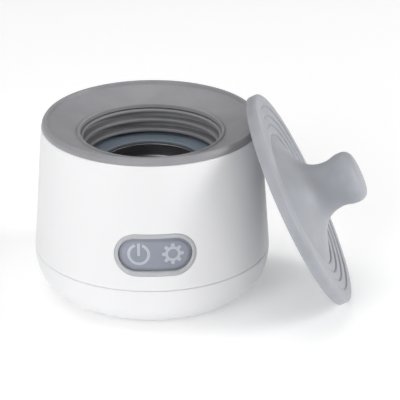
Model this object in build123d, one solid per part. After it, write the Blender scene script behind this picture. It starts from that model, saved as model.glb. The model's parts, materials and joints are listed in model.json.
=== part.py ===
# Portable bottle warmer: a squat battery heater for a baby bottle, with its silicone lid
# taken off and leaned against the rim.
# Millimetres, +Z up. The origin is the middle of the foot pad's lower face, and the
# button panel faces -Y.
import os
from math import cos, radians, sin

from build123d import *

# Outer form
widest_radius = 48.2
seam_height = 18.8
shoulder_radius = 44.35
base_flat_radius = 33.0
base_lift = 0.4
edge_fullness = 0.62
wall = 2.2
seam_gap = 0.25
base_floor = 2.6

# Clearances
glue_gap = 0.05
slip_gap = 0.2
key_gap = 0.12

# Base cover, its foot pad and the lip that locates the shell
foot_radius = 31.5
foot_recess = 0.8
lip_rise = 3.0
lip_thickness = 1.2
lip_root = 5.0

# Battery pack
cell_radius = 10.7
cell_length = 70.2
cell_space = 0.5
cell_bevel = 0.4
tray_web = 1.8
tray_height = 7.0
tray_length = 60.0
tray_margin = 0.8
tab_thickness = 0.2
tab_height = 8.0
battery_pad_thickness = 0.6
battery_pad_width = 28.0
battery_pad_length = 52.0

# Chassis plate over the battery
chassis_thickness = 1.8
leg_x = 26.0
leg_y = 13.0
leg_radius = 3.0
post_height = 6.0
standoff_height = 2.0
standoff_radius = 2.2
cable_slot_length = 14.0
cable_slot_width = 7.0

# Screws: one set of proportions for the case screws, one for the board screws
case_screw_radius = 1.2
case_screw_head_radius = 2.3
case_screw_head_height = 1.4
board_screw_radius = 1.0
board_screw_head_radius = 1.9
board_screw_head_height = 1.1
screw_play = 0.25
base_screw_length = 12.0
shell_screw_length = 8.0
frame_screw_length = 5.0
cover_screw_length = 6.5
board_screw_length = 3.2

# Circuit boards
board_radius = 35.0
board_thickness = 1.6
board_screw_circle = 31.0
tongue_width = 15.0
tongue_under = 3.1
key_board_thickness = 1.2
key_board_width = 31.0
key_board_height = 13.6
key_board_screw_x = 12.5
key_board_screw_up = 4.4
key_post_width = 4.0
key_post_depth = 3.0

# Parts on the boards
inductor_side = 10.0
inductor_height = 4.5
inductor_x = -17.0
inductor_y = 5.0
capacitor_radius = 2.6
capacitor_height = 5.5
capacitor_bevel = 0.5
capacitor_circle = 20.5
capacitor_angles = (215, 238, 262, 313)
chip_height = 1.2
controller_side = 7.0
controller_x = 8.0
controller_y = -6.0
charger_side = 5.0
charger_x = -3.0
charger_y = 24.0
driver_width = 6.5
driver_height = 1.8
driver_x = 19.0
driver_y = 8.0
led_width = 2.4
led_height = 1.2
led_depth = 0.8
led_offset = 4.2

# Charging socket in the back
socket_width = 8.94
socket_height = 3.26
socket_wall = 0.3
socket_length = 7.9
socket_sunk = 0.8
socket_tongue_width = 6.7
socket_tongue_height = 0.7
socket_tongue_length = 6.3
socket_back = 1.2

# Button panel
panel_rise = 5.2
panel_width = 32.2
panel_tall = 17.5
pad_width = 28.7
pad_tall = 13.4
ring_proud = 0.15
ring_flange = 1.2
ring_flange_thickness = 0.9
key_sunk = 0.45
key_thickness = 1.9
key_travel = 0.35
key_post_radius = 2.2
key_post_length = 2.1
glyph_proud = 0.1
glyph_offset = 6.8
glyph_rise = 0.3
glyph_depth = 0.6
power_ring_radius = 4.45
power_inset = 0.25
glyph_stroke = 1.1
power_gap_angle = 21.0
power_bar_foot = -0.65
gear_tooth_count = 8
gear_tip_radius = 4.3
gear_body_radius = 3.05
gear_hole_radius = 1.95
gear_tooth_width = 1.4
gear_tooth_round = 0.45
switch_side = 5.0
switch_thickness = 1.8
stem_radius = 1.4
stem_length = 1.5
stem_entry = 0.5
stem_play = 0.1

# Fixings between the shell, the chassis and the inner frame
boss_radius = 3.0
boss_bite = 0.35
boss_height = 10.5
ledge_depth = 5.9
ledge_thickness = 1.8
ledge_width = 5.2
frame_boss_inset = 3.3
frame_boss_radius = 2.6
frame_boss_height = 2.8

# Inner frame, heating dish and what lies under it
frame_wall = 1.6
tube_radius = 31.7
dish_ledge_thickness = 1.6
dish_ledge_inner_radius = 26.5
dish_sheet = 0.6
dish_bore = 19.6
dish_depth = 6.6
dish_corner = 3.0
dish_flange_radius = 31.0
seat_ring_thickness = 1.2
seat_ring_bore = 20.4
film_radius = 16.0
film_thickness = 0.5
insulation_thickness = 4.1
thermistor_radius = 1.3
thermistor_height = 2.6
thermistor_offset = 7.0
cover_thickness = 1.8
cover_air = 2.3
cover_boss_out = 3.3
cover_boss_radius = 2.6
cover_boss_height = 8.5
lead_radius = 0.8
lead_spacing = 8.0
lead_offset = 12.0

# Silicone collar and the bottle seal inside it
collar_band_height = 1.3
collar_band_lean = 0.25
collar_rim_inset = 1.45
collar_crest_width = 1.0
collar_crest_rise = 2.8
collar_dish_drop = 0.4
collar_dish_fall = 3.2
collar_drop_lean = 0.3
collar_thickness = 1.7
throat_radius = 28.6
throat_lip_width = 1.7
throat_lip_rise = 0.9
throat_foot_drop = 0.9
throat_root = 0.4
seal_wall = 1.7
seal_headroom = 0.2
throat_gap = 0.8
first_rib = 2.1
rib_pitch = 4.15
rib_count = 3
rib_thickness = 1.4
rib_reach = 27.5
rib_shrink = 0.5
rib_root = 1.3

# Lid: a silicone disc with stepped rings, a flared stem and a knob
lid_radius = 45.85
lid_edge = 4.36
lid_skirt_width = 1.5
lid_skirt_depth = 1.4
lid_edge_round = 1.3
lid_land_width = 5.0
lid_step_count = 4
lid_step_width = 4.05
lid_step_drop = 0.45
neck_radius = 9.7
neck_height = 17.5
flare_spread = 0.62
flare_lead = 2.6
flare_waist = 1.4
flare_share = 0.55
knob_radius = 10.7
knob_height = 29.0
knob_edge_round = 4.6
plug_radius = 26.8
plug_depth = 2.2
plug_wall = 2.4

# How the lid leans: its axis, its shift along the rim, and the gaps where it touches
lid_azimuth = -4.18
lid_tilt = 63.52
lid_shift = -9.0
lid_rest_gap = 0.15


cells_top = base_lift + base_floor + tray_web + 2 * cell_radius
chassis_top = cells_top + battery_pad_thickness + chassis_thickness
board_bottom = chassis_top + standoff_height
board_top = board_bottom + board_thickness
panel_height = chassis_top + panel_rise
cover_bottom = board_top + capacitor_height + cover_air
tube_foot = cover_bottom + cover_thickness
dish_ledge_top = tube_foot + insulation_thickness + film_thickness + dish_depth
seat_height = dish_ledge_top + dish_sheet + seat_ring_thickness
rib_top = seat_height + first_rib + (rib_count - 1) * rib_pitch
seal_top = rib_top + seal_headroom
throat_foot = seal_top + throat_gap
dish_low = throat_foot + throat_foot_drop
shoulder_height = dish_low + collar_dish_fall
ledge_height = shoulder_height - ledge_depth
collar_rim_radius = shoulder_radius - collar_rim_inset
collar_lip_radius = collar_rim_radius - collar_crest_width
wall_lean = (widest_radius - shoulder_radius) / (shoulder_height - seam_height)
quarter_turns = (45, 135, 225, 315)


def outer_radius(height):
    """Outside radius of the leaning wall at a height above the seam."""
    return widest_radius - (height - seam_height) * wall_lean


def inner_radius(height):
    return outer_radius(height) - wall


def boss_circle():
    """Circle of the screw bosses, which grow out of the case wall."""
    return inner_radius(chassis_top) + boss_bite - boss_radius


def frame_boss_circle():
    return inner_radius(ledge_height) - frame_boss_inset


def spin(outline):
    """Turn a closed outline in the XZ half plane about the vertical axis."""
    return revolve(make_face((Plane.XZ * outline).edges()), Axis.Z)


def turned(*points):
    return spin(Polyline(*points, close=True))


def ring(outer, inner, bottom, top):
    return turned((inner, bottom), (outer, bottom), (outer, top), (inner, top))


def peg(radius, bottom, top, x=0.0, y=0.0):
    """Upright cylinder from one height to another."""
    return Pos(x, y, (bottom + top) / 2) * Cylinder(radius, top - bottom)


def block(width, depth, bottom, top, x=0.0, y=0.0):
    return Pos(x, y, (bottom + top) / 2) * Box(width, depth, top - bottom)


def around(circle, angles):
    """Places on a circle, as x and y pairs."""
    return [(circle * cos(radians(a)), circle * sin(radians(a))) for a in angles]


def joined(solids):
    whole = solids[0]
    for solid in solids[1:]:
        whole += solid
    return whole


def screw(radius, head_radius, head_height, length):
    """Screw pointing up: its head's upper face lies at z = 0."""
    body = peg(radius, 0, length) + peg(head_radius, -head_height, 0)
    socket = Pos(0, 0, -head_height) * extrude(RegularPolygon(head_radius * 0.5, 6), head_height * 0.6)
    return body - socket


def case_screws(places, head_top, length):
    one = screw(case_screw_radius, case_screw_head_radius, case_screw_head_height, length)
    return Compound(children=[Pos(x, y, head_top) * one for x, y in places])


def wall_band(proud, deep):
    """Ring of wall from a distance outside the surface to a depth under it."""
    low = panel_height - panel_tall
    high = panel_height + panel_tall
    return turned(
        (outer_radius(low) - deep, low),
        (outer_radius(low) + proud, low),
        (outer_radius(high) + proud, high),
        (outer_radius(high) - deep, high),
    )


def through_panel(sketch, x=0.0):
    """Prism of a front-view sketch, running in through the panel from outside."""
    front = Plane(origin=(x, -2 * widest_radius, panel_height), x_dir=(1, 0, 0), z_dir=(0, -1, 0))
    return extrude(front * sketch, -1.5 * widest_radius)


def pill(width, tall, grow=0.0):
    return SlotOverall(width + 2 * grow, tall + 2 * grow)


def cup(radius, flat, low, high):
    """Solid bowl that curves from a flat foot to an upright edge."""
    side = radius - flat
    rise = high - low
    curve = Bezier(
        (flat, low),
        (flat + edge_fullness * side, low),
        (radius, high - edge_fullness * rise),
        (radius, high),
    )
    return spin(curve + Polyline((radius, high), (0, high), (0, low), (flat, low)))


def base_cavity(gap):
    """Space inside the base cover, drawn in by a gap."""
    high = seam_height - seam_gap
    return cup(widest_radius - wall - gap, base_flat_radius - wall - gap, base_lift + base_floor, high)


def make_base_shell():
    """Lower cover: a shallow tub with a full rounded edge, posts and a locating lip."""
    floor_top = base_lift + base_floor
    rim = seam_height - seam_gap
    tub = cup(widest_radius, base_flat_radius, base_lift, rim) - base_cavity(0)
    lip_outer = inner_radius(seam_height + lip_rise) - slip_gap
    lip_inner = lip_outer - lip_thickness
    root_radius = widest_radius - wall * 0.6
    tub += turned(
        (lip_inner, rim - lip_root),
        (root_radius, rim - lip_root),
        (root_radius, rim),
        (lip_outer, rim),
        (lip_outer, seam_height + lip_rise),
        (lip_inner, seam_height + lip_rise),
    )
    tub -= peg(foot_radius + glue_gap, 0, base_lift + foot_recess)
    head_top = base_screw_head_top()
    for x, y in leg_places():
        tub += peg(leg_radius, base_lift + foot_recess, floor_top + post_height, x, y)
        tub -= peg(case_screw_radius + screw_play, 0, floor_top + post_height, x, y)
        tub -= peg(case_screw_head_radius + screw_play, 0, head_top, x, y)
    return tub


def leg_places():
    return [(sx * leg_x, sy * leg_y) for sx in (-1, 1) for sy in (-1, 1)]


def base_screw_head_top():
    return base_lift + foot_recess + case_screw_head_height + slip_gap


def make_foot_pad():
    pad = peg(foot_radius, 0, base_lift + foot_recess)
    return chamfer(pad.edges().group_by(Axis.Z)[0], base_lift * 0.5)


def cell_places():
    return [(side * (cell_radius + cell_space / 2), 0) for side in (-1, 1)]


def cell_height():
    return base_lift + base_floor + tray_web + cell_radius


def make_battery_cells():
    cells = []
    for x, y in cell_places():
        can = Pos(x, y, cell_height()) * Rot(90, 0, 0) * Cylinder(cell_radius, cell_length)
        cells.append(chamfer(can.edges().filter_by(GeomType.CIRCLE), cell_bevel))
    return Compound(children=cells)


def make_battery_tray():
    low = base_lift + base_floor
    width = 4 * cell_radius + cell_space + 2 * tray_margin
    tray = block(width, tray_length, low, low + tray_height)
    for x, y in cell_places():
        tray -= Pos(x, y, cell_height()) * Rot(90, 0, 0) * Cylinder(cell_radius + glue_gap, tray_length + 1)
    return tray & base_cavity(slip_gap)


def make_battery_tabs():
    """Nickel strips: one links the cells at the front, two lead off at the back."""
    low = cell_height() - tab_height / 2
    y = (cell_length + tab_thickness) / 2
    link = block(3 * cell_radius, tab_thickness, low, low + tab_height, 0, -y)
    ends = [block(tab_height, tab_thickness, low, low + tab_height, x, y) for x, _ in cell_places()]
    return Compound(children=[link] + ends)


def make_battery_pad():
    low = cell_height() + cell_radius
    return block(battery_pad_width, battery_pad_length, low, low + battery_pad_thickness)


def make_chassis():
    """Plate that closes the battery bay and carries both circuit boards."""
    low = chassis_top - chassis_thickness
    plate = peg(inner_radius(low) - 2 * slip_gap, low, chassis_top)
    legs_foot = base_lift + base_floor + post_height
    legs = joined([peg(leg_radius, legs_foot, low, x, y) for x, y in leg_places()])
    board_places = around(board_screw_circle, (0, 90, 180, 270))
    standoffs = joined([peg(standoff_radius, chassis_top, board_bottom, x, y) for x, y in board_places])
    plate += legs + standoffs
    post_top = key_board_bottom() + key_board_height
    post_y = -(key_board_back() - key_post_depth / 2)
    for x in (-key_board_screw_x, key_board_screw_x):
        plate += block(key_post_width, key_post_depth, chassis_top, post_top, x, post_y)
        hole = Pos(x, post_y, key_board_screw_height()) * Rot(90, 0, 0)
        plate -= hole * Cylinder(board_screw_radius, key_post_depth)
    for x, y in leg_places():
        plate -= peg(case_screw_radius, legs_foot, base_screw_head_top() + base_screw_length, x, y)
    for x, y in board_places:
        plate -= peg(board_screw_radius, board_top - board_screw_length, board_bottom, x, y)
    for x, y in around(boss_circle(), quarter_turns):
        plate -= peg(case_screw_radius + screw_play, low, chassis_top, x, y)
    plate -= Pos(0, 0, low) * extrude(SlotOverall(cable_slot_length, cable_slot_width), chassis_thickness)
    flange_depth = wall + ring_flange_thickness + 2 * slip_gap
    flange_room = through_panel(pill(panel_width, panel_tall, ring_flange + slip_gap))
    return plate - (flange_room & wall_band(0, flange_depth))


def make_main_board():
    board = peg(board_radius, board_bottom, board_top)
    tongue_reach = socket_front() - socket_length + tongue_under
    tongue_middle = (board_screw_circle - standoff_radius + tongue_reach) / 2
    tongue_length = tongue_reach - board_screw_circle + standoff_radius
    board += block(tongue_width, tongue_length, board_bottom, board_top, 0, tongue_middle)
    for x, y in around(board_screw_circle, (0, 90, 180, 270)):
        board -= peg(board_screw_radius + screw_play, board_bottom, board_top, x, y)
    return board


def make_board_screws():
    one = screw(board_screw_radius, board_screw_head_radius, board_screw_head_height, board_screw_length)
    turned_over = Rot(180, 0, 0) * one
    places = around(board_screw_circle, (0, 90, 180, 270))
    return Compound(children=[Pos(x, y, board_top) * turned_over for x, y in places])


def make_power_inductor():
    top = board_top + inductor_height
    core = block(inductor_side, inductor_side, board_top, top, inductor_x, inductor_y)
    return chamfer(core.edges().filter_by(Axis.Z), inductor_side / 8)


def make_board_chips():
    """Controller, charger and power switch packages."""
    chip_top = board_top + chip_height
    controller = block(controller_side, controller_side, board_top, chip_top, controller_x, controller_y)
    charger = block(charger_side, charger_side, board_top, chip_top, charger_x, charger_y)
    driver = block(driver_width, charger_side, board_top, board_top + driver_height, driver_x, driver_y)
    return Compound(children=[controller, charger, driver])


def make_board_capacitors():
    top = board_top + capacitor_height
    places = around(capacitor_circle, capacitor_angles)
    cans = [peg(capacitor_radius, board_top, top, x, y) for x, y in places]
    return Compound(children=[chamfer(can.edges().group_by(Axis.Z)[-1], capacitor_bevel) for can in cans])


def socket_middle_height():
    return board_top + socket_height / 2


def socket_front():
    return outer_radius(socket_middle_height()) - socket_sunk


def back_prism(sketch, start, length):
    """Prism of a back-view sketch at the charging socket's height."""
    plane = Plane(origin=(0, start, socket_middle_height()), x_dir=(1, 0, 0), z_dir=(0, -1, 0))
    return extrude(plane * sketch, -length)


def make_usb_socket():
    start = socket_front() - socket_length
    inner = pill(socket_width, socket_height, -socket_wall)
    can = back_prism(pill(socket_width, socket_height), start, socket_length)
    return can - back_prism(inner, start + socket_wall, socket_length)


def make_usb_tongue():
    start = socket_front() - socket_length + socket_wall
    block_back = back_prism(pill(socket_width, socket_height, -socket_wall - glue_gap), start, socket_back)
    tongue = back_prism(Rectangle(socket_tongue_width, socket_tongue_height), start, socket_tongue_length)
    return block_back + tongue


def key_back():
    """Distance from the axis to the ends of the key posts."""
    return outer_radius(panel_height) - key_sunk - key_thickness - key_post_length


def switch_face():
    return key_back() - stem_entry * 2


def key_board_front():
    return switch_face() - switch_thickness


def key_board_back():
    return key_board_front() - key_board_thickness


def key_board_bottom():
    return chassis_top + slip_gap


def key_board_screw_height():
    return panel_height + key_board_screw_up


def along_y(solid, x, y, z):
    """Place an upright solid so that its axis runs back along +Y."""
    return Pos(x, y, z) * Rot(-90, 0, 0) * solid


def make_key_board():
    low = key_board_bottom()
    y = -(key_board_front() + key_board_back()) / 2
    board = block(key_board_width, key_board_thickness, low, low + key_board_height, 0, y)
    hole = Cylinder(board_screw_radius + screw_play, key_board_thickness)
    for side in (-1, 1):
        board -= along_y(hole, side * key_board_screw_x, y, key_board_screw_height())
    return board


def make_key_board_screws():
    one = screw(board_screw_radius, board_screw_head_radius, board_screw_head_height, board_screw_length)
    y = -key_board_front()
    places = [side * key_board_screw_x for side in (-1, 1)]
    return Compound(children=[along_y(one, x, y, key_board_screw_height()) for x in places])


def make_key_switches():
    bodies = []
    y = -(key_board_front() + switch_thickness / 2)
    well_depth = stem_length - stem_entry * 2 + key_travel + slip_gap
    for side in (-1, 1):
        x = side * glyph_offset
        body = Pos(x, y, panel_height) * Box(switch_side, switch_thickness, switch_side)
        bore = Cylinder(stem_radius + stem_play, well_depth)
        well = along_y(bore, x, -switch_face() + well_depth / 2, panel_height)
        bodies.append(body - well)
    return Compound(children=bodies)


def make_status_leds():
    leds = []
    y = -(key_board_front() + led_depth / 2)
    for side in (-1, 1):
        for up in (-1, 1):
            place = Pos(side * glyph_offset, y, panel_height + up * led_offset)
            leds.append(place * Box(led_width, led_depth, led_height))
    return Compound(children=leds)


def make_outer_shell():
    """Upper case: a leaning wall open at the top and bottom."""
    foot = seam_height
    top = shoulder_height
    shell = turned(
        (inner_radius(foot), foot),
        (outer_radius(foot), foot),
        (outer_radius(top), top),
        (inner_radius(top), top),
    )
    for x, y in around(boss_circle(), quarter_turns):
        shell += peg(boss_radius, chassis_top, chassis_top + boss_height, x, y)
    ledge_low = ledge_height - ledge_thickness
    ledge_inner_radius = inner_radius(ledge_height) - ledge_width
    shell += ring(inner_radius(ledge_height) + wall / 2, ledge_inner_radius, ledge_low, ledge_height)
    for x, y in around(boss_circle(), quarter_turns):
        shell -= peg(case_screw_radius, chassis_top, chassis_top + shell_screw_length, x, y)
    for x, y in around(frame_boss_circle(), quarter_turns):
        shell -= peg(case_screw_radius + screw_play, ledge_low, ledge_height, x, y)
    shell -= through_panel(pill(panel_width, panel_tall, glue_gap))
    socket_hole = pill(socket_width, socket_height, screw_play)
    shell -= back_prism(socket_hole, inner_radius(socket_middle_height()) - wall, 4 * wall)
    return shell


def make_light_guide():
    """Clear ring round the keys, with a flange behind the wall that keeps it in."""
    face = through_panel(pill(panel_width, panel_tall)) & wall_band(ring_proud, wall + glue_gap)
    flange = through_panel(pill(panel_width, panel_tall, ring_flange))
    flange &= wall_band(-wall - glue_gap, wall + glue_gap + ring_flange_thickness)
    return face + flange - through_panel(pill(pad_width, pad_tall, key_gap))


def power_glyph():
    """Broken ring with an upright bar in its gap."""
    mark = Circle(power_ring_radius) - Circle(power_ring_radius - glyph_stroke)
    reach = power_ring_radius * 2
    spread = reach * sin(radians(power_gap_angle)) / cos(radians(power_gap_angle))
    mark -= make_face(Polyline((0, 0), (spread, reach), (-spread, reach), close=True))
    bar_length = power_ring_radius - power_bar_foot
    mark += Pos(0, power_bar_foot + bar_length / 2) * Rectangle(glyph_stroke, bar_length)
    return Pos(power_inset, glyph_rise) * mark


def gear_glyph():
    mark = Circle(gear_body_radius)
    tooth_length = gear_tip_radius - gear_hole_radius
    tooth = RectangleRounded(tooth_length, gear_tooth_width, gear_tooth_round)
    for index in range(gear_tooth_count):
        turn = Rot(0, 0, index * 360 / gear_tooth_count)
        mark += turn * Pos(gear_tip_radius - tooth_length / 2, 0) * tooth
    return Pos(0, glyph_rise) * (mark - Circle(gear_hole_radius))


def make_symbol(glyph, side):
    band = wall_band(glyph_proud - key_sunk, key_sunk + glyph_depth)
    return through_panel(glyph, side * glyph_offset) & band


def make_key(glyph, side):
    """Half of the silicone pad, with its mark let in and a post behind it."""
    half = Pos(side * (pad_width + key_gap) / 2, -widest_radius, panel_height)
    pad = through_panel(pill(pad_width, pad_tall)) & (half * Box(pad_width, widest_radius, 2 * pad_tall))
    key = pad & wall_band(-key_sunk, key_sunk + key_thickness)
    post_length = outer_radius(panel_height) - key_sunk - glyph_depth * 2 - key_back()
    post = Cylinder(key_post_radius, post_length)
    key += along_y(post, side * glyph_offset, -key_back() - post_length / 2, panel_height)
    return key - (through_panel(glyph, side * glyph_offset) & wall_band(0, key_sunk + glyph_depth))


def make_switch_stem(side):
    stem = Cylinder(stem_radius, stem_length)
    return along_y(stem, side * glyph_offset, -key_back() + stem_length / 2, panel_height)


def collar_under(radius):
    """Height of the collar's underside, which the inner frame carries."""
    slope = (shoulder_height - collar_dish_drop - (dish_low - collar_thickness))
    slope /= collar_lip_radius - throat_radius - throat_lip_width
    return dish_low - collar_thickness + (radius - throat_radius - throat_lip_width) * slope


def make_inner_frame():
    """Funnel under the collar and the tube that holds the seal and the heating dish."""
    skirt_outer = inner_radius(shoulder_height) - slip_gap / 2
    skirt_inner = skirt_outer - frame_wall
    tube_outer = tube_radius + frame_wall
    top = collar_under(collar_lip_radius)
    frame = turned(
        (tube_radius, tube_foot),
        (tube_outer, tube_foot),
        (tube_outer, collar_under(tube_outer) - frame_wall),
        (skirt_inner, collar_under(skirt_inner) - frame_wall),
        (skirt_inner, ledge_height + slip_gap / 2),
        (skirt_outer, ledge_height + slip_gap / 2),
        (skirt_outer, top),
        (collar_lip_radius, top),
        (tube_radius, collar_under(tube_radius)),
    )
    ledge_low = dish_ledge_top - dish_ledge_thickness
    frame += ring(tube_outer, dish_ledge_inner_radius, ledge_low, dish_ledge_top)
    boss_low = ledge_height + slip_gap / 2
    for x, y in around(frame_boss_circle(), quarter_turns):
        frame += peg(frame_boss_radius, boss_low, boss_low + frame_boss_height, x, y)
        frame -= peg(case_screw_radius, boss_low, ledge_height - ledge_thickness + frame_screw_length, x, y)
    for x, y in around(tube_radius + cover_boss_out, cover_angles()):
        frame += peg(cover_boss_radius, tube_foot, tube_foot + cover_boss_height, x, y) - peg(
            tube_radius + frame_wall / 2, tube_foot, tube_foot + cover_boss_height
        )
        frame -= peg(case_screw_radius, tube_foot, tube_foot - cover_thickness + cover_screw_length, x, y)
    return frame


def cover_angles():
    return [90 + 120 * index for index in range(3)]


def make_top_collar():
    """Soft rim band, shallow dish and the raised lip round the bottle opening."""
    lip_outer = throat_radius + throat_lip_width
    rim_bottom = shoulder_height + glue_gap
    outside = shoulder_radius - slip_gap
    collar_crest = shoulder_height + collar_crest_rise
    crest_inside = collar_crest - collar_crest_width
    throat_lip_height = dish_low + throat_lip_rise
    step_foot = shoulder_height + collar_thickness - collar_dish_drop
    band = Line((outside, rim_bottom), (outside - collar_band_lean, rim_bottom + collar_band_height))
    crest = ThreePointArc(band @ 1, (collar_rim_radius, collar_crest), (collar_lip_radius, crest_inside))
    drop = Line(crest @ 1, (collar_lip_radius - collar_drop_lean, step_foot))
    dish = Line(drop @ 1, (lip_outer, dish_low))
    lip = ThreePointArc(
        dish @ 1,
        (throat_radius + throat_lip_width / 2, throat_lip_height),
        (throat_radius, throat_lip_height - throat_lip_width / 2),
    )
    under = Polyline(
        lip @ 1,
        (throat_radius, throat_foot),
        (lip_outer, dish_low - collar_thickness + throat_root),
        (collar_lip_radius, collar_under(collar_lip_radius) + glue_gap),
        (collar_lip_radius, rim_bottom),
        (outside, rim_bottom),
    )
    return spin(band + crest + drop + dish + lip + under)


def make_lip_seal():
    """Sleeve with soft rings that grip bottles of several diameters."""
    outer = tube_radius - slip_gap
    inner = outer - seal_wall
    seal = ring(outer, inner, seat_height, seal_top)
    for index in range(rib_count):
        middle = rib_top - index * rib_pitch
        reach = rib_reach - index * rib_shrink
        half = rib_thickness / 2
        tip = ThreePointArc((reach + half, middle + half), (reach, middle), (reach + half, middle - half))
        root = Polyline(
            (reach + half, middle - half),
            (inner + seal_wall / 2, middle - half * rib_root),
            (inner + seal_wall / 2, min(middle + half * rib_root, seal_top)),
            (reach + half, middle + half),
        )
        seal += spin(tip + root)
    return seal


def make_seat_ring():
    low = dish_ledge_top + dish_sheet
    return ring(tube_radius - slip_gap, seat_ring_bore, low, seat_height)


def make_heating_dish():
    """Drawn stainless cup whose flange rests on the frame's ledge."""
    top = dish_ledge_top + dish_sheet
    floor = top - dish_depth
    cup = ring(dish_flange_radius, dish_bore, dish_ledge_top, top)
    cup += peg(dish_bore + dish_sheet, floor - dish_sheet, top) - peg(dish_bore, floor, top)
    corners = cup.edges().filter_by(GeomType.CIRCLE).group_by(Axis.Z)
    cup = fillet(corners[0], dish_corner)
    inside = cup.edges().filter_by(GeomType.CIRCLE).filter_by(lambda e: abs(e.center().Z - floor) < 0.01)
    return fillet(inside, dish_corner - dish_sheet)


def dish_underside():
    return dish_ledge_top + dish_sheet - dish_depth - dish_sheet


def make_heater_film():
    return peg(film_radius, dish_underside() - film_thickness, dish_underside())


def make_thermistor():
    top = dish_underside() - film_thickness
    return peg(thermistor_radius, top - thermistor_height, top, thermistor_offset)


def lead_places():
    return [(side * lead_spacing / 2, lead_offset) for side in (-1, 1)]


def make_heater_leads():
    top = dish_underside() - film_thickness
    return Compound(children=[peg(lead_radius, board_top, top, x, y) for x, y in lead_places()])


def make_heater_insulation():
    top = dish_underside() - film_thickness
    disc = peg(tube_radius - slip_gap, tube_foot, top)
    disc -= peg(thermistor_radius + slip_gap, top - thermistor_height - slip_gap, top, thermistor_offset)
    for x, y in lead_places():
        disc -= peg(lead_radius + slip_gap, tube_foot, top, x, y)
    return disc


def make_heater_cover():
    low = tube_foot - cover_thickness
    disc = peg(tube_radius + frame_wall, low, tube_foot)
    for x, y in around(tube_radius + cover_boss_out, cover_angles()):
        disc += peg(cover_boss_radius, low, tube_foot, x, y)
        disc -= peg(case_screw_radius + screw_play, low, tube_foot, x, y)
    for x, y in lead_places():
        disc -= peg(lead_radius + slip_gap, low, tube_foot, x, y)
    return disc


def lid_profile():
    """Half outline of the lid, with its skirt's edge at z = 0 and its axis at x = 0."""
    r = lid_radius
    e = lid_edge_round
    land_top = lid_edge
    round_cut = 1 - cos(radians(45))
    cut = e * round_cut
    underside = Line((r - lid_skirt_width, 0), (r - e, 0))
    corner = ThreePointArc((r - e, 0), (r - cut, cut), (r, e))
    side = Line((r, e), (r, land_top - e))
    upper = ThreePointArc((r, land_top - e), (r - cut, land_top - cut), (r - e, land_top))
    points = [(r - e, land_top)]
    radius = r - lid_land_width
    height = land_top
    for index in range(lid_step_count):
        points += [(radius, height), (radius - lid_step_drop, height - lid_step_drop)]
        height -= lid_step_drop
        radius -= lid_step_width
    steps = Polyline(*points)
    start = steps @ 1
    flare = Spline(
        start,
        (neck_radius + flare_spread * (start.X - neck_radius), height + flare_lead),
        (neck_radius * flare_waist, neck_height * flare_share),
        (neck_radius, neck_height),
        tangents=[(-1, 0.04), (0, 1)],
    )
    knob_side = knob_height - knob_edge_round
    swell = Spline((neck_radius, neck_height), (knob_radius, knob_side), tangents=[(0, 1), (0, 1)])
    crown_edge = knob_radius - knob_edge_round
    turn = knob_edge_round * round_cut
    halfway = (knob_radius - turn, knob_height - turn)
    cap = ThreePointArc((knob_radius, knob_side), halfway, (crown_edge, knob_height))
    skirt = r - lid_skirt_width
    close = Polyline(
        (crown_edge, knob_height),
        (0, knob_height),
        (0, lid_skirt_depth),
        (skirt, lid_skirt_depth),
        (skirt, 0),
    )
    return underside + corner + side + upper + steps + flare + swell + cap + close


def lid_normal():
    """Way the lid's axis points, out and up from the warmer."""
    tilt = radians(lid_tilt)
    turn = radians(lid_azimuth)
    return Vector(sin(tilt) * cos(turn), sin(tilt) * sin(turn), cos(tilt))


def lid_place():
    """Middle of the skirt's edge, where the lid meets both the rim and the floor."""
    tilt = radians(lid_tilt)
    turn = radians(lid_azimuth)
    e = lid_edge_round
    height = lid_rest_gap + (lid_radius - e) * sin(tilt) + e - e * cos(tilt)
    out = (rim_reach() + lid_rest_gap - lid_skirt_depth - cos(tilt) * height) / sin(tilt)
    x = out * cos(turn) - lid_shift * sin(turn)
    y = out * sin(turn) + lid_shift * cos(turn)
    return Vector(x, y, height)


def rim_reach():
    """How far the warmer reaches along the lid's tilt, which is where the lid stops."""
    leaned = Rot(0, -lid_tilt, 0) * (make_top_collar() + make_outer_shell())
    return leaned.bounding_box(optimal=True).max.Z


def make_lid():
    lid = spin(lid_profile())
    lid += ring(plug_radius, plug_radius - plug_wall, lid_skirt_depth - plug_depth, lid_skirt_depth)
    sideways = Vector(-sin(radians(lid_azimuth)), cos(radians(lid_azimuth)), 0)
    return Plane(origin=lid_place(), x_dir=sideways, z_dir=lid_normal()).location * lid


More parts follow.
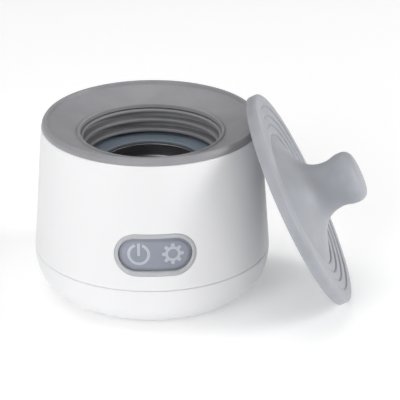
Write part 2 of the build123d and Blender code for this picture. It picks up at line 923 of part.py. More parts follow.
pieces = {
    "foot_pad": make_foot_pad(),
    "base_shell": make_base_shell(),
    "base_screws": case_screws(leg_places(), base_screw_head_top(), base_screw_length),
    "battery_tray": make_battery_tray(),
    "battery_cells": make_battery_cells(),
    "battery_tabs": make_battery_tabs(),
    "battery_pad": make_battery_pad(),
    "chassis": make_chassis(),
    "chassis_screws": case_screws(
        around(boss_circle(), quarter_turns),
        chassis_top - chassis_thickness,
        shell_screw_length + chassis_thickness,
    ),
    "main_board": make_main_board(),
    "board_screws": make_board_screws(),
    "power_inductor": make_power_inductor(),
    "board_chips": make_board_chips(),
    "board_capacitors": make_board_capacitors(),
    "usb_socket": make_usb_socket(),
    "usb_tongue": make_usb_tongue(),
    "key_board": make_key_board(),
    "key_board_screws": make_key_board_screws(),
    "key_switches": make_key_switches(),
    "status_leds": make_status_leds(),
    "outer_shell": make_outer_shell(),
    "light_guide": make_light_guide(),
    "inner_frame": make_inner_frame(),
    "frame_screws": case_screws(
        around(frame_boss_circle(), quarter_turns), ledge_height - ledge_thickness, frame_screw_length
    ),
    "top_collar": make_top_collar(),
    "lip_seal": make_lip_seal(),
    "seat_ring": make_seat_ring(),
    "heating_dish": make_heating_dish(),
    "heater_film": make_heater_film(),
    "thermistor": make_thermistor(),
    "heater_leads": make_heater_leads(),
    "heater_insulation": make_heater_insulation(),
    "heater_cover": make_heater_cover(),
    "cover_screws": case_screws(
        around(tube_radius + cover_boss_out, cover_angles()), tube_foot - cover_thickness, cover_screw_length
    ),
    "power_key": make_key(power_glyph(), -1),
    "power_symbol": make_symbol(power_glyph(), -1),
    "power_switch_stem": make_switch_stem(-1),
    "settings_key": make_key(gear_glyph(), 1),
    "settings_symbol": make_symbol(gear_glyph(), 1),
    "settings_switch_stem": make_switch_stem(1),
    "lid": make_lid(),
}

os.makedirs("parts", exist_ok=True)
for name, piece in pieces.items():
    export_step(piece, f"parts/{name}.step")
print("lid axis", lid_normal(), "lid place", lid_place())
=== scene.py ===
import json
from math import cos, pi, radians, sin, sqrt, tan

import bmesh
import bpy
from mathutils import Matrix, Vector
from mathutils.geometry import interpolate_bezier


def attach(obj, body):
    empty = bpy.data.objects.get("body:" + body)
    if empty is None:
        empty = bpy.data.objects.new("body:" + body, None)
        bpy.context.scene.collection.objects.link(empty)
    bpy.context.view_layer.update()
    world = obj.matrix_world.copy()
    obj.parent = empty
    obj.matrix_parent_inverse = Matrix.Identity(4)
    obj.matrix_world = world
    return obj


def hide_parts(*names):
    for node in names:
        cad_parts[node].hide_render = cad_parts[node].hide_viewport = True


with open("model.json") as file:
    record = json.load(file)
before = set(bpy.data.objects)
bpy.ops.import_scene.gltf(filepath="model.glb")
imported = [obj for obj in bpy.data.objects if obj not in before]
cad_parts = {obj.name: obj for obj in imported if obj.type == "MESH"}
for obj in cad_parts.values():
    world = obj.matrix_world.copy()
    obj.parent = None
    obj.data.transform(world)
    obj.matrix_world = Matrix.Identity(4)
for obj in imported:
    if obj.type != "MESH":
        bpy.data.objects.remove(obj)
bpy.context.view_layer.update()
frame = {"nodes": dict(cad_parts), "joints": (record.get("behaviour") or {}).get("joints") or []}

# Foot pad: a disc of grey silicone, let into the base's underside and glued there, so that
# the warmer doesn't slide. Its lower edge is chamfered and its face is finely matt.
mm = 0.001
turn_steps = 192
foot_radius = 31.5
foot_top = 1.2
foot_chamfer = 0.35
foot_top_round = 0.2


def rounded(corners, bits=5):
    """Outline from corners given as radius, height and rounding, all in millimetres."""
    line = []
    for index, (r, z, bend) in enumerate(corners):
        here = Vector((r, z))
        if not bend:
            line.append(here)
            continue
        before = Vector(corners[index - 1][:2]) - here
        after = Vector(corners[(index + 1) % len(corners)][:2]) - here
        half = before.angle(after) / 2
        reach = min(bend / tan(half), before.length * 0.49, after.length * 0.49)
        radius = reach * tan(half)
        middle = here + (before.normalized() + after.normalized()).normalized() * radius / sin(half)
        start = here + before.normalized() * reach - middle
        end = here + after.normalized() * reach - middle
        turns = [start.lerp(end, bit / bits).normalized() for bit in range(bits + 1)]
        line += [middle + turn * radius for turn in turns]
    return line


def lathe(outline, closed=True):
    """Spin an outline once round the upright axis; an open one starts and ends on the axis."""
    bm = bmesh.new()
    verts = [bm.verts.new((r * mm, 0, z * mm)) for r, z in outline]
    ends = verts[1:] + verts[:1] if closed else verts[1:]
    edges = [bm.edges.new(pair) for pair in zip(verts, ends)]
    bmesh.ops.spin(
        bm, geom=verts + edges, axis=(0, 0, 1), cent=(0, 0, 0), dvec=(0, 0, 0),
        angle=2 * pi, steps=turn_steps, use_merge=True, use_duplicate=False,
    )
    bmesh.ops.remove_doubles(bm, verts=bm.verts, dist=1e-7)
    bmesh.ops.recalc_face_normals(bm, faces=bm.faces)
    return bm


def piece(name, bm, finish, body, slot, *nodes, crease=35):
    """Turn a bmesh into a finished piece that rides on a body and stands for CAD nodes."""
    mesh = bpy.data.meshes.new(name)
    bm.to_mesh(mesh)
    bm.free()
    mesh.shade_smooth()
    mesh.set_sharp_from_angle(angle=radians(crease))
    made = bpy.data.objects.new(name, mesh)
    bpy.context.scene.collection.objects.link(made)
    mesh.materials.append(finish)
    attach(made, body)
    if nodes:
        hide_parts(*nodes)
    return made


def start_finish(name, colour, roughness, **values):
    """New material: its node tree, its shader and the object's own coordinates."""
    material = bpy.data.materials.new(name)
    material.use_nodes = True
    tree = material.node_tree
    shader = tree.nodes["Principled BSDF"]
    shader.inputs["Base Color"].default_value = (*colour, 1)
    shader.inputs["Roughness"].default_value = roughness
    for socket, value in values.items():
        shader.inputs[socket.replace("_", " ")].default_value = value
    place = tree.nodes.new("ShaderNodeTexCoord").outputs["Object"]
    return material, tree, shader, place


def noise(tree, place, per_metre, detail=3, stretch=(1, 1, 1)):
    """Noise with a grain counted per metre, stretched along chosen axes."""
    mapping = tree.nodes.new("ShaderNodeMapping")
    mapping.inputs["Scale"].default_value = stretch
    tree.links.new(place, mapping.inputs["Vector"])
    texture = tree.nodes.new("ShaderNodeTexNoise")
    texture.inputs["Scale"].default_value = per_metre
    texture.inputs["Detail"].default_value = detail
    tree.links.new(mapping.outputs["Vector"], texture.inputs["Vector"])
    return texture.outputs["Fac"]


def tint(tree, shader, factor, dark, light, low=0.35, high=0.65):
    """Vary the base colour between two tones by a factor."""
    ramp = tree.nodes.new("ShaderNodeValToRGB")
    ramp.color_ramp.elements[0].position = low
    ramp.color_ramp.elements[1].position = high
    ramp.color_ramp.elements[0].color = (*dark, 1)
    ramp.color_ramp.elements[1].color = (*light, 1)
    tree.links.new(factor, ramp.inputs["Fac"])
    tree.links.new(ramp.outputs["Color"], shader.inputs["Base Color"])


def vary(tree, factor, socket, low, high):
    """Vary one shader value between two limits by a factor."""
    spread = tree.nodes.new("ShaderNodeMapRange")
    spread.inputs["To Min"].default_value = low
    spread.inputs["To Max"].default_value = high
    tree.links.new(factor, spread.inputs["Value"])
    tree.links.new(spread.outputs["Result"], socket)


def relief(tree, shader, height, strength, distance):
    """Bump the surface by a height, with a depth in metres."""
    bump = tree.nodes.new("ShaderNodeBump")
    bump.inputs["Strength"].default_value = strength
    bump.inputs["Distance"].default_value = distance
    tree.links.new(height, bump.inputs["Height"])
    tree.links.new(bump.outputs["Normal"], shader.inputs["Normal"])


def silicone(name, colour, roughness=0.52, cloud=0.05):
    """Satin silicone: a slight cloudiness in the colour and a fine moulded skin."""
    material, tree, shader, place = start_finish(
        name, colour, roughness, Subsurface_Weight=0.12, Subsurface_Scale=0.002, Sheen_Weight=0.15,
        Sheen_Roughness=0.4, Specular_IOR_Level=0.4,
    )
    shader.inputs["Subsurface Radius"].default_value = (1.0, 0.9, 0.85)
    dark = [c * (1 - cloud) for c in colour]
    light = [min(c * (1 + cloud), 1) for c in colour]
    tint(tree, shader, noise(tree, place, 90), dark, light)
    fine = noise(tree, place, 5200, detail=4)
    worn = noise(tree, place, 260)
    vary(tree, worn, shader.inputs["Roughness"], roughness - 0.05, roughness + 0.06)
    relief(tree, shader, fine, 0.18, 0.00006)
    return material


foot_finish = silicone("foot_silicone", (0.27, 0.28, 0.30), 0.62)
foot_outline = rounded([
    (0, 0, 0), (foot_radius, 0, foot_chamfer), (foot_radius, foot_top, foot_top_round),
    (0, foot_top, 0),
])
foot_shape = lathe(foot_outline, closed=False)
piece("foot_pad_disc", foot_shape, foot_finish, "warmer", "foot_silicone", "foot_pad")

# Base cover: the lower tub of the case, moulded in white plastic with a full rounded edge. It
# meets the upper shell at the widest line, where a fine seam runs all round.
widest_radius = 48.2
seam_height = 18.8
seam_gap = 0.14
seam_round = 0.3
seam_chamfer = 0.08
seam_inset = 0.28
base_flat = 33.0
base_lift = 0.4
base_floor = 3
edge_fullness = 0.62
case_wall = 2.2
recess_top = 1.25
foot_clearance = 0.08
lip_root = 5
lip_inner = 44.4
lip_outer = 45.55
lip_top = 21.8


def sweep(start, pull_start, pull_end, end, bits):
    """Smooth curve between two points, drawn by two pull points, without its last point."""
    pulls = [Vector((*point, 0)) for point in (start, pull_start, pull_end, end)]
    return [(point.x, point.y) for point in interpolate_bezier(*pulls, bits + 1)][:-1]


def satin_plastic(name, colour, roughness):
    """White satin plastic: very fine spark-eroded skin with a faint flow in the gloss."""
    material, tree, shader, place = start_finish(
        name, colour, roughness, Subsurface_Weight=0.08, Subsurface_Scale=0.0015,
        Specular_IOR_Level=0.5, Coat_Weight=0.06, Coat_Roughness=0.35,
    )
    shader.inputs["Subsurface Radius"].default_value = (1.0, 0.85, 0.75)
    flow = noise(tree, place, 35, detail=2, stretch=(1, 1, 0.3))
    tint(tree, shader, flow, [c * 0.985 for c in colour], colour)
    sparks = noise(tree, place, 900, detail=4)
    vary(tree, sparks, shader.inputs["Roughness"], roughness - 0.04, roughness + 0.05)
    relief(tree, shader, noise(tree, place, 7000, detail=3), 0.12, 0.00004)
    return material


white_plastic = satin_plastic("white_case_plastic", (0.80, 0.80, 0.81), 0.36)
rim = seam_height - seam_gap
fullness_side = edge_fullness * (widest_radius - base_flat)
fullness_rise = edge_fullness * (rim - base_lift)
outside_low = sweep(
    (base_flat, base_lift), (base_flat + fullness_side, base_lift),
    (widest_radius, rim - fullness_rise), (widest_radius, rim - seam_round), 40,
)
inside_low = sweep(
    (widest_radius - case_wall, rim - lip_root), (widest_radius - case_wall, rim - fullness_rise),
    (base_flat + fullness_side - case_wall, base_floor), (base_flat - case_wall, base_floor), 24,
)
recess_radius = foot_radius + foot_clearance
base_outline = (
    [(0, recess_top), (recess_radius, recess_top), (recess_radius, base_lift)]
    + outside_low
    + [(widest_radius, rim - seam_round), (widest_radius - seam_chamfer, rim - seam_round / 3)]
    + [(widest_radius - seam_inset, rim), (lip_outer, rim), (lip_outer, lip_top)]
    + [(lip_inner, lip_top), (lip_inner, rim - lip_root)]
    + inside_low
    + [(base_flat - case_wall, base_floor), (0, base_floor)]
)
base_shape = lathe(base_outline, closed=False)
piece("base_cover", base_shape, white_plastic, "warmer", "shell_plastic", "base_shell")

# Screws: zinc-plated steel, driven into plain moulded bosses. They hold the base, chassis,
# boards, inner frame and heater cover.
def dress(finish, *names):
    """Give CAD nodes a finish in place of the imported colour."""
    for name in names:
        mesh = frame["nodes"][name].data
        mesh.materials.clear()
        mesh.materials.append(finish)


def metal(name, colour, roughness, per_metre=1500, stretch=(1, 1, 1), grain=0.06):
    """Metal with a fine directional grain in its gloss."""
    material, tree, shader, place = start_finish(name, colour, roughness, Metallic=1.0)
    streak = noise(tree, place, per_metre, detail=4, stretch=stretch)
    tint(tree, shader, streak, [c * 0.85 for c in colour], colour)
    vary(tree, streak, shader.inputs["Roughness"], roughness - grain, roughness + grain)
    relief(tree, shader, streak, 0.15, 0.00003)
    return material


zinc_steel = metal("zinc_steel", (0.45, 0.44, 0.42), 0.35)
dress(zinc_steel, "base_screws", "chassis_screws", "board_screws")
dress(zinc_steel, "key_board_screws", "frame_screws", "cover_screws")

# Battery pack: two lithium cells in a printed blue shrink sleeve, lying side by side in a
# moulded cradle, joined by spot-welded nickel strips and held down by a strip of foam.
def plain_plastic(name, colour, roughness, grain_per_metre=2500):
    """Moulded plastic of the inner pieces, with a dull grain and faint flow marks."""
    material, tree, shader, place = start_finish(name, colour, roughness)
    tint(tree, shader, noise(tree, place, 60), [c * 0.9 for c in colour], colour)
    relief(tree, shader, noise(tree, place, grain_per_metre, detail=4), 0.25, 0.00005)
    return material


def foam(name, colour):
    """Closed-cell foam: round cells that dimple the surface, with painted shade darkening each
    dimple.
    """
    material, tree, shader, place = start_finish(name, colour, 0.92)
    cells = tree.nodes.new("ShaderNodeTexVoronoi")
    cells.inputs["Scale"].default_value = 1400
    tree.links.new(place, cells.inputs["Vector"])
    # Painted shade: the colour darkens towards the middle of each cell, where the bump sinks the
    # surface.
    tint(tree, shader, cells.outputs["Distance"], [c * 0.6 for c in colour], colour, 0.0, 0.5)
    relief(tree, shader, cells.outputs["Distance"], 0.5, 0.0001)
    return material


cell_sleeve = plain_plastic("cell_sleeve", (0.03, 0.16, 0.42), 0.3, 4000)
inner_plastic = plain_plastic("inner_plastic", (0.60, 0.60, 0.61), 0.5)
black_foam = foam("black_foam", (0.05, 0.05, 0.052))
white_foam = foam("white_foam", (0.75, 0.73, 0.68))
nickel_strip = metal("nickel_strip", (0.66, 0.62, 0.56), 0.28, 3000, (0.1, 1, 1))
dress(cell_sleeve, "battery_cells")
dress(inner_plastic, "battery_tray", "chassis", "heater_cover")
dress(nickel_strip, "battery_tabs")
dress(black_foam, "battery_pad")

# Circuit boards: green fibreglass under solder mask, with the inductor, chips, capacitors,
# switches and lamps soldered on. The key board stands upright behind the panel.
def solder_mask():
    """Green board with faint copper tracks under the mask."""
    material, tree, shader, place = start_finish("solder_mask", (0.02, 0.19, 0.09), 0.3)
    tracks = tree.nodes.new("ShaderNodeTexBrick")
    tracks.inputs["Scale"].default_value = 160
    tracks.inputs["Color1"].default_value = (0.02, 0.17, 0.08, 1)
    tracks.inputs["Color2"].default_value = (0.025, 0.2, 0.095, 1)
    tracks.inputs["Mortar"].default_value = (0.05, 0.32, 0.14, 1)
    tree.links.new(place, tracks.inputs["Vector"])
    tree.links.new(tracks.outputs["Color"], shader.inputs["Base Color"])
    relief(tree, shader, tracks.outputs["Fac"], 0.3, 0.00003)
    return material


def clear_resin(name, colour, roughness, transmission):
    """Clear or frosted moulding that lets light through, with cloudy depth."""
    material, tree, shader, place = start_finish(
        name, colour, roughness, Transmission_Weight=transmission, IOR=1.45,
        Subsurface_Weight=0.3, Subsurface_Scale=0.003,
    )
    tint(tree, shader, noise(tree, place, 120), [c * 0.93 for c in colour], colour)
    relief(tree, shader, noise(tree, place, 4200, detail=3), 0.12, 0.00005)
    return material


board_green = solder_mask()
black_resin = plain_plastic("black_resin", (0.015, 0.015, 0.017), 0.45, 5000)
ferrite_grey = plain_plastic("ferrite_grey", (0.06, 0.06, 0.065), 0.65, 3500)
drawn_can = metal("drawn_can", (0.72, 0.73, 0.75), 0.25)
lamp_lens = clear_resin("lamp_lens", (0.9, 0.9, 0.82), 0.1, 0.6)
switch_white = plain_plastic("switch_white", (0.75, 0.75, 0.72), 0.4)
dress(board_green, "main_board", "key_board")
dress(ferrite_grey, "power_inductor")
dress(black_resin, "board_chips", "usb_tongue", "key_switches", "thermistor")
dress(drawn_can, "board_capacitors")
dress(lamp_lens, "status_leds")
dress(switch_white, "power_switch_stem", "settings_switch_stem")

# Charging socket: a plated steel shell with a black tongue inside, soldered to the main
# board's tab. It sits just inside a pill-shaped hole in the back of the case.
plated_steel = metal("plated_steel", (0.62, 0.63, 0.65), 0.3, 2500, (1, 0.15, 1))
dress(plated_steel, "usb_socket")

# Upper shell: the tall leaning wall of the case, moulded in the same white satin plastic,
# with the panel's pill-shaped hole in front and the charging socket's hole at the back.
shoulder_radius = 44.35
shoulder_height = 70.3
wall_rows = 52
wall_rows_inside = 12
shoulder_round = 0.4
shoulder_chamfer = 0.1
panel_height = 33.8
panel_width = 32.2
panel_tall = 17.5
socket_height = 33.83
socket_hole_width = 9.44
socket_hole_tall = 3.76
hole_clearance = 0.1
front_reach = (-60, -30)
back_reach = (30, 60)
straight_bits = 16


def wall_radius(height):
    """Outside radius of the leaning wall."""
    lean = (widest_radius - shoulder_radius) / (shoulder_height - seam_height)
    return widest_radius - (height - seam_height) * lean


def pill_points(width, tall, arc_bits=28):
    """Closed outline of a pill, with points along its straights as well as its ends."""
    half = (width - tall) / 2
    end = tall / 2
    right = [(half + end * cos(a), end * sin(a)) for a in spread(-pi / 2, pi / 2, arc_bits)]
    left = [(-half + end * cos(a), end * sin(a)) for a in spread(pi / 2, 3 * pi / 2, arc_bits)]
    top = [(x, end) for x in spread(half, -half, straight_bits)[1:-1]]
    bottom = [(x, -end) for x in spread(-half, half, straight_bits)[1:-1]]
    return right + top + left + bottom


def spread(first, last, bits):
    """Even steps from one number to another."""
    return [first + (last - first) * bit / bits for bit in range(bits + 1)]


def prism(points, height, near, far):
    """Closed prism of a front-view outline, between two distances along Y."""
    bm = bmesh.new()
    verts = [bm.verts.new((x * mm, near * mm, (height + z) * mm)) for x, z in points]
    face = bm.faces.new(verts)
    out = bmesh.ops.extrude_face_region(bm, geom=[face])["geom"]
    moved = [v for v in out if isinstance(v, bmesh.types.BMVert)]
    bmesh.ops.translate(bm, verts=moved, vec=(0, (far - near) * mm, 0))
    bmesh.ops.recalc_face_normals(bm, faces=bm.faces)
    return bm


def cut(target, *cutters):
    """Cut prisms out of a piece, then shade it afresh."""
    for bm in cutters:
        mesh = bpy.data.meshes.new("cutter")
        bm.to_mesh(mesh)
        bm.free()
        tool = bpy.data.objects.new("cutter", mesh)
        bpy.context.scene.collection.objects.link(tool)
        hole = target.modifiers.new("hole", "BOOLEAN")
        hole.operation = "DIFFERENCE"
        hole.solver = "EXACT"
        hole.object = tool
        bpy.context.view_layer.update()
        ready = target.evaluated_get(bpy.context.evaluated_depsgraph_get())
        result = bpy.data.meshes.new_from_object(ready)
        target.modifiers.remove(hole)
        target.data = result
        bpy.data.objects.remove(tool)
    target.data.shade_smooth()
    target.data.set_sharp_from_angle(angle=radians(35))


shell_outline = (
    [(widest_radius - case_wall, seam_height), (widest_radius - seam_inset, seam_height)]
    + [(widest_radius - seam_chamfer, seam_height + seam_round / 3)]
    + [
        (wall_radius(z), z)
        for z in spread(seam_height + seam_round, shoulder_height - shoulder_round, wall_rows)
    ]
    + [(shoulder_radius - shoulder_chamfer, shoulder_height - shoulder_chamfer)]
    + [(shoulder_radius - shoulder_round, shoulder_height)]
    + [(shoulder_radius - case_wall, shoulder_height)]
    + [
        (wall_radius(z) - case_wall, z)
        for z in spread(shoulder_height - 2, seam_height + 2, wall_rows_inside)
    ]
)
upper_shell = piece(
    "upper_shell", lathe(shell_outline), white_plastic, "warmer", "shell_plastic", "outer_shell",
)
panel_hole = pill_points(panel_width + hole_clearance, panel_tall + hole_clearance)
socket_hole = pill_points(socket_hole_width, socket_hole_tall, 10)
cut(
    upper_shell,
    prism(panel_hole, panel_height, *front_reach),
    prism(socket_hole, socket_height, *back_reach),
)

# Light ring: a frosted clear moulding pressed into the panel's hole from inside. It glows
# round the keys, and its face is a low rounded bead that falls away to the pad.
pad_width = 28.7
pad_tall = 13.4
pad_sunk = -0.45
pad_gap = 0.2


def wrap(bm):
    """Lay a flat shape on the leaning wall: x runs round it, z up it and y out of it."""
    for vert in bm.verts:
        x, proud, z = (c / mm for c in vert.co)
        radius = wall_radius(panel_height + z)
        y = -sqrt(radius * radius - x * x) - proud
        vert.co = Vector((x, y, panel_height + z)) * mm


def banded(levels):
    """Bridge pill outlines into a strip; each level has a width, a height across and a rise."""
    bm = bmesh.new()
    before = None
    for width, tall, rise in levels:
        verts = [bm.verts.new((x * mm, rise * mm, z * mm)) for x, z in pill_points(width, tall)]
        if before:
            for index in range(len(verts)):
                after = (index + 1) % len(verts)
                bm.faces.new((before[index], before[after], verts[after], verts[index]))
        before = verts
    return bm


def between(first, last, share):
    """The value at a share of the way from one number to another."""
    return first + (last - first) * share


ring_section = [
    (0.0, -1.6), (0.0, -0.35), (0.02, -0.08), (0.08, 0.05), (0.2, 0.14), (0.4, 0.18), (0.6, 0.17),
    (0.78, 0.1), (0.9, -0.05), (0.97, -0.25), (1.0, -0.5), (1.0, -1.6),
]
ring_levels = [
    (
        between(panel_width, pad_width + pad_gap, share),
        between(panel_tall, pad_tall + pad_gap, share), rise,
    )
    for share, rise in ring_section
]
ring_shape = banded(ring_levels + ring_levels[:1])
wrap(ring_shape)
bmesh.ops.remove_doubles(ring_shape, verts=ring_shape.verts, dist=1e-7)
bmesh.ops.recalc_face_normals(ring_shape, faces=ring_shape.faces)
frosted_ring = clear_resin("frosted_light_ring", (0.50, 0.515, 0.54), 0.42, 0.05)
piece(
    "light_ring", ring_shape, frosted_ring, "warmer", "light_ring", "light_guide", crease=60,
)

# Keys: one soft grey silicone pad, shown as its two halves, which slide in onto the switches.
# A shallow channel runs round the pad, and a raised pale mark stands on each key.
key_split = 0.003
key_deep = -2.2
pad_rows = 8
pad_border = [
    (0.0, key_deep), (0.0, -1.3), (0.1, -1.15), (0.55, -1.1), (0.85, -0.95), (1.15, -0.62),
    (1.4, -0.49), (1.8, pad_sunk),
]


def half_pad(side):
    """One half of the pad, cut off beside the middle line."""
    flat = spread(pad_border[-1][0], pad_tall / 2 - 0.01, pad_rows)[1:]
    section = pad_border + [(inset, pad_sunk) for inset in flat]
    levels = [(pad_width - 2 * inset, pad_tall - 2 * inset, rise) for inset, rise in section]
    bm = banded(levels)
    bmesh.ops.remove_doubles(bm, verts=bm.verts, dist=2e-5)
    bmesh.ops.recalc_face_normals(bm, faces=bm.faces)
    geom = bm.verts[:] + bm.edges[:] + bm.faces[:]
    bmesh.ops.bisect_plane(
        bm, geom=geom, plane_co=(side * key_split * mm, 0, 0), plane_no=(side, 0, 0),
        clear_inner=True,
    )
    wrap(bm)
    return bm


pad_grey = silicone("pad_silicone", (0.27, 0.29, 0.345), 0.5)
for side, word in ((-1, "power"), (1, "settings")):
    piece(
        f"{word}_key_half", half_pad(side), pad_grey, f"{word}_button", "pad_silicone",
        f"{word}_key", crease=60,
    )
mark_pale = silicone("mark_silicone", (0.47, 0.50, 0.55), 0.48)
dress(mark_pale, "power_symbol", "settings_symbol")

# Inner frame: a moulded funnel that carries the collar, and the tube that holds the bottle
# seal and the dish. It is screwed down inside the case, and the pieces above hide it.
dress(inner_plastic, "inner_frame")

# Collar: soft grey silicone over the top of the case. A rim band turns over the edge, and a
# shallow dish runs down to a raised lip round the opening, where the bottle goes in.
collar_radius = 44.15
collar_foot = 70.35
rim_crest = 73.15
dish_drop = (41.6, 71.6)
dish_low = (30.15, 67.2)
lip_crest = (29.5, 68.05)
throat_radius = 28.6
throat_foot = 66.2
collar_inside = 41.65
collar_grey = silicone("collar_silicone", (0.29, 0.288, 0.305), 0.46)
rim_corners = [
    (collar_radius, collar_foot, 0.15), (collar_radius - 0.2, collar_foot + 1.45, 1.1),
    (collar_radius - 1.15, rim_crest, 0.6), (collar_radius - 2.15, rim_crest - 0.15, 0.5),
]
lip_corners = [
    (*dish_drop, 0.4), (*dish_low, 0.3), (*lip_crest, 0.4),
    (throat_radius + 0.1, lip_crest[1] - 0.3, 0.4),
]
under_corners = [
    (throat_radius, throat_foot, 0.1), (throat_radius + 1.7, throat_foot - 0.4, 0),
    (collar_inside, collar_foot - 1.1, 0), (collar_inside, collar_foot, 0),
]
collar_outline = rounded(rim_corners + lip_corners + under_corners)
piece(
    "soft_collar", lathe(collar_outline), collar_grey, "warmer", "collar_silicone", "top_collar",
    crease=50,
)

# Bottle seal: a silicone sleeve with three soft rings that grip necks of several sizes. Deep
# dark gaps lie between the rings, because they stand well out from the sleeve.
seal_outer = 31.5
seal_bore = 30.4
seal_foot = 54.8
seal_top = 65.4
ring_top = 65.2
ring_pitch = 4.15
ring_count = 3
ring_reach = 27.5
ring_shrink = 0.5
ring_half = 0.7
ring_flank = 1.3
seal_corners = [(seal_outer, seal_foot, 0), (seal_outer, seal_top, 0)]
for index in range(ring_count):
    middle = ring_top - index * ring_pitch
    reach = ring_reach - index * ring_shrink
    seal_corners += [
        (seal_bore, min(middle + ring_half * ring_flank, seal_top), 0.3),
        (reach, middle + ring_half, 0.6), (reach, middle - ring_half, 0.6),
        (seal_bore, middle - ring_half * ring_flank, 0.5),
    ]
seal_corners += [(seal_bore, seal_foot, 0)]
seal_grey = silicone("seal_grey_silicone", (0.26, 0.26, 0.275), 0.46)
seal_shape = lathe(rounded(seal_corners))
piece(
    "bottle_seal", seal_shape, seal_grey, "warmer", "collar_silicone", "lip_seal", crease=50,
)

# Seat ring: a flat ring of frosted clear silicone that the bottle's shoulder rests on. It
# lies on the dish's flange and is held down by the foot of the seal.
seat_foot = 53.6
seat_bore = 20.4
seat_clear = clear_resin("seat_silicone", (0.25, 0.30, 0.36), 0.3, 0.2)
seat_outline = rounded([
    (seat_bore, seat_foot, 0.2), (seal_outer, seat_foot, 0), (seal_outer, seal_foot, 0),
    (seat_bore, seal_foot, 0.45),
])
seat_shape = lathe(seat_outline)
piece(
    "seat_ring_flat", seat_shape, seat_clear, "warmer", "seat_silicone", "seat_ring", crease=50,
)

# Heating dish: a cup drawn from stainless sheet, brushed round its axis. Water or the base of
# the bottle stands in it, over the heater film that is bonded underneath.
dish_top = 53.6
dish_bore = 19.6
dish_floor = 47.0
dish_sheet = 0.6
dish_flange = 31.0
dish_corner = 2.4
flange_corner = 0.3


def brushed_round(name, colour, roughness):
    """Stainless sheet brushed in circles about the upright axis."""
    material, tree, shader, place = start_finish(
        name, colour, roughness, Metallic=1.0, Anisotropic=0.5,
    )
    away = tree.nodes.new("ShaderNodeVectorMath")
    away.operation = "LENGTH"
    flat = tree.nodes.new("ShaderNodeVectorMath")
    flat.operation = "MULTIPLY"
    flat.inputs[1].default_value = (1, 1, 0.4)
    tree.links.new(place, flat.inputs[0])
    tree.links.new(flat.outputs["Vector"], away.inputs[0])
    rings = tree.nodes.new("ShaderNodeTexNoise")
    rings.noise_dimensions = "1D"
    rings.inputs["Scale"].default_value = 5200
    rings.inputs["Detail"].default_value = 4
    tree.links.new(away.outputs["Value"], rings.inputs["W"])
    tint(tree, shader, rings.outputs["Fac"], [c * 0.8 for c in colour], colour)
    vary(tree, rings.outputs["Fac"], shader.inputs["Roughness"], roughness - 0.08, roughness + 0.1)
    relief(tree, shader, rings.outputs["Fac"], 0.2, 0.00003)
    return material


stainless = brushed_round("stainless_dish", (0.26, 0.25, 0.26), 0.38)
dish_inside = [
    (0, dish_floor, 0), (dish_bore, dish_floor, dish_corner), (dish_bore, dish_top, flange_corner),
    (dish_flange, dish_top, 0),
]
dish_outside = [
    (dish_flange, dish_top - dish_sheet, 0),
    (dish_bore + dish_sheet, dish_top - dish_sheet, flange_corner),
    (dish_bore + dish_sheet, dish_floor - dish_sheet, dish_corner + dish_sheet),
    (0, dish_floor - dish_sheet, 0),
]
dish_shape = lathe(rounded(dish_inside + dish_outside), closed=False)
piece("steel_dish", dish_shape, stainless, "warmer", "dish_steel", "heating_dish", crease=50)

# Heater: an amber film element bonded under the dish, with a bead sensor, two red leads and a
# disc of white foam insulation. All of it is closed in by the cover under the tube.
amber_film = clear_resin("amber_film", (0.62, 0.27, 0.04), 0.25, 0.1)
red_lead = plain_plastic("red_lead", (0.45, 0.02, 0.015), 0.35, 4000)
dress(amber_film, "heater_film")
dress(red_lead, "heater_leads")
dress(white_foam, "heater_insulation")

# Lid: one moulding in pale grey silicone, with a thick rounded edge, four stepped rings that
# go down towards the middle, and a flared stem with a knob. It leans against the rim.
lid_radius = 45.85
lid_edge = 4.36
lid_skirt_width = 1.5
lid_skirt_depth = 1.4
lid_land = 5.0
lid_step_count = 4
lid_step_width = 4.05
lid_step_drop = 0.45
groove_width = 0.9
groove_deep = 0.35
groove_bottom = 0.25
lid_lower_round = 0.86
lid_upper_round = 1.3
neck_radius = 9.7
neck_height = 17.5
knob_radius = 10.7
knob_height = 29.0
crown_rise = 0.3
crown_start = 4.8
crown_flat = 4.4
plug_radius = 26.8
plug_wall = 2.4
plug_depth = 0.8
lid_middle = (57.496, -13.226, 40.747)
lid_axis = Vector(next(j["axis"] for j in frame["joints"] if j["name"] == "lid_lift"))

skirt_inner = lid_radius - lid_skirt_width
lid_corners = [
    (0, lid_skirt_depth, 0), (plug_radius - plug_wall, lid_skirt_depth, 0.2),
    (plug_radius - plug_wall, -plug_depth, 0.4), (plug_radius, -plug_depth, 0.6),
    (plug_radius, lid_skirt_depth, 0.4), (skirt_inner, lid_skirt_depth, 0.3), (skirt_inner, 0, 0.3),
    (lid_radius, 0, lid_lower_round), (lid_radius, lid_edge, lid_upper_round),
]
step_radius = lid_radius - lid_land
step_height = lid_edge
for index in range(lid_step_count):
    lid_corners += [(step_radius, step_height, 0.3)]
    step_height -= lid_step_drop
    lid_corners += [
        (step_radius - groove_bottom, step_height - groove_deep, 0.3),
        (step_radius - groove_width, step_height, 0.4),
    ]
    step_radius -= lid_step_width
flare_foot = lid_corners[-1][:2]
lid_corners[-1] = (*flare_foot, 0)
neck = (neck_radius, neck_height)
crown_foot = (knob_radius, knob_height - crown_start)
crown_edge = (knob_radius - crown_flat, knob_height - crown_rise)
stem = sweep(
    flare_foot, (flare_foot[0] - 9, flare_foot[1] + 3.4),
    (neck_radius + 0.2, neck_height - 10.5), neck, 30,
)
swell = sweep(
    neck, (neck_radius, neck_height + 3.0), (knob_radius, knob_height - 8.6), crown_foot, 10,
)
crown = sweep(
    crown_foot, (knob_radius, knob_height - 1.7), (knob_radius - 2.2, knob_height - 0.4),
    crown_edge, 14,
)
lid_rim = rounded(lid_corners)[:-1]
lid_outline = lid_rim + stem + swell + crown + [crown_edge, (0, knob_height)]
lid_shape = lathe(lid_outline, closed=False)
lean = lid_axis.to_track_quat("Z", "Y").to_matrix().to_4x4()
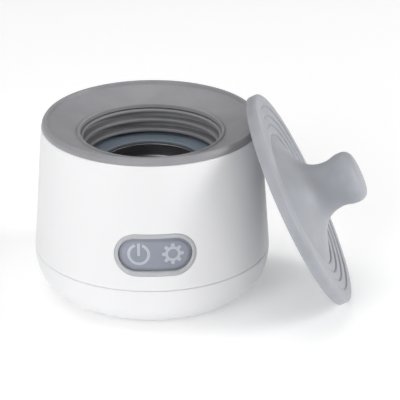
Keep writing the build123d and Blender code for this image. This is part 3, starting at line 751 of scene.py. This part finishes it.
stand = Matrix.Translation(Vector(lid_middle) * mm) @ lean
bmesh.ops.transform(lid_shape, matrix=stand, verts=lid_shape.verts)
lid_grey = silicone("lid_silicone", (0.36, 0.372, 0.405), 0.5)
piece("knob_lid", lid_shape, lid_grey, "lid", "lid_silicone", "lid", crease=50)

# Studio: a plain pale floor that glows a little, as a light table does, and runs on past the
# view. Soft lights stand at the front left, at the right and overhead, and the lens is long.
floor_size = 6.0
floor_shape = bmesh.new()
bmesh.ops.create_grid(floor_shape, x_segments=1, y_segments=1, size=floor_size / 2)
floor_mesh = bpy.data.meshes.new("studio_floor")
floor_shape.to_mesh(floor_mesh)
floor_shape.free()
floor = bpy.data.objects.new("studio_floor", floor_mesh)
bpy.context.scene.collection.objects.link(floor)
floor_paint, floor_tree, floor_shader, floor_place = start_finish(
    "studio_paint", (0.96, 0.96, 0.96), 0.9,
)
floor_shader.inputs["Emission Color"].default_value = (1, 1, 1, 1)
floor_shader.inputs["Emission Strength"].default_value = 0.2
vary(floor_tree, noise(floor_tree, floor_place, 3), floor_shader.inputs["Roughness"], 0.88, 0.92)
floor_mesh.materials.append(floor_paint)

world = bpy.data.worlds.new("studio_air")
world.use_nodes = True
world.node_tree.nodes["Background"].inputs["Color"].default_value = (1.0, 1.0, 1.0, 1)
world.node_tree.nodes["Background"].inputs["Strength"].default_value = 0.16
bpy.context.scene.world = world


def softbox(name, place, aim, width, height, power):
    """Rectangular soft light, in metres and watts, turned towards a point."""
    lamp = bpy.data.lights.new(name, "AREA")
    lamp.shape = "RECTANGLE"
    lamp.size = width
    lamp.size_y = height
    lamp.energy = power
    box = bpy.data.objects.new(name, lamp)
    box.location = place
    box.rotation_euler = (Vector(aim) - Vector(place)).to_track_quat("-Z", "Y").to_euler()
    bpy.context.scene.collection.objects.link(box)


subject = (0.02, 0, 0.04)
softbox("left_box", (-0.6, -1.05, 0.5), subject, 0.8, 0.8, 9.2)
softbox("right_box", (1.15, -0.15, 0.5), subject, 0.5, 0.6, 9)
softbox("top_box", (-0.3, 0.2, 1.3), subject, 1.4, 1.4, 9)

lens_place = (-0.01894, -0.7633, 0.3754)
lens_turn = (66.07, 0, -2.9)
lens_length = 183.3
camera = bpy.data.cameras.new("photo_camera")
camera.lens = lens_length
camera.sensor_width = 36
camera_stand = bpy.data.objects.new("photo_camera", camera)
camera_stand.location = lens_place
camera_stand.rotation_euler = [radians(angle) for angle in lens_turn]
bpy.context.scene.collection.objects.link(camera_stand)
bpy.context.scene.camera = camera_stand
bpy.context.scene.view_settings.view_transform = "Standard"
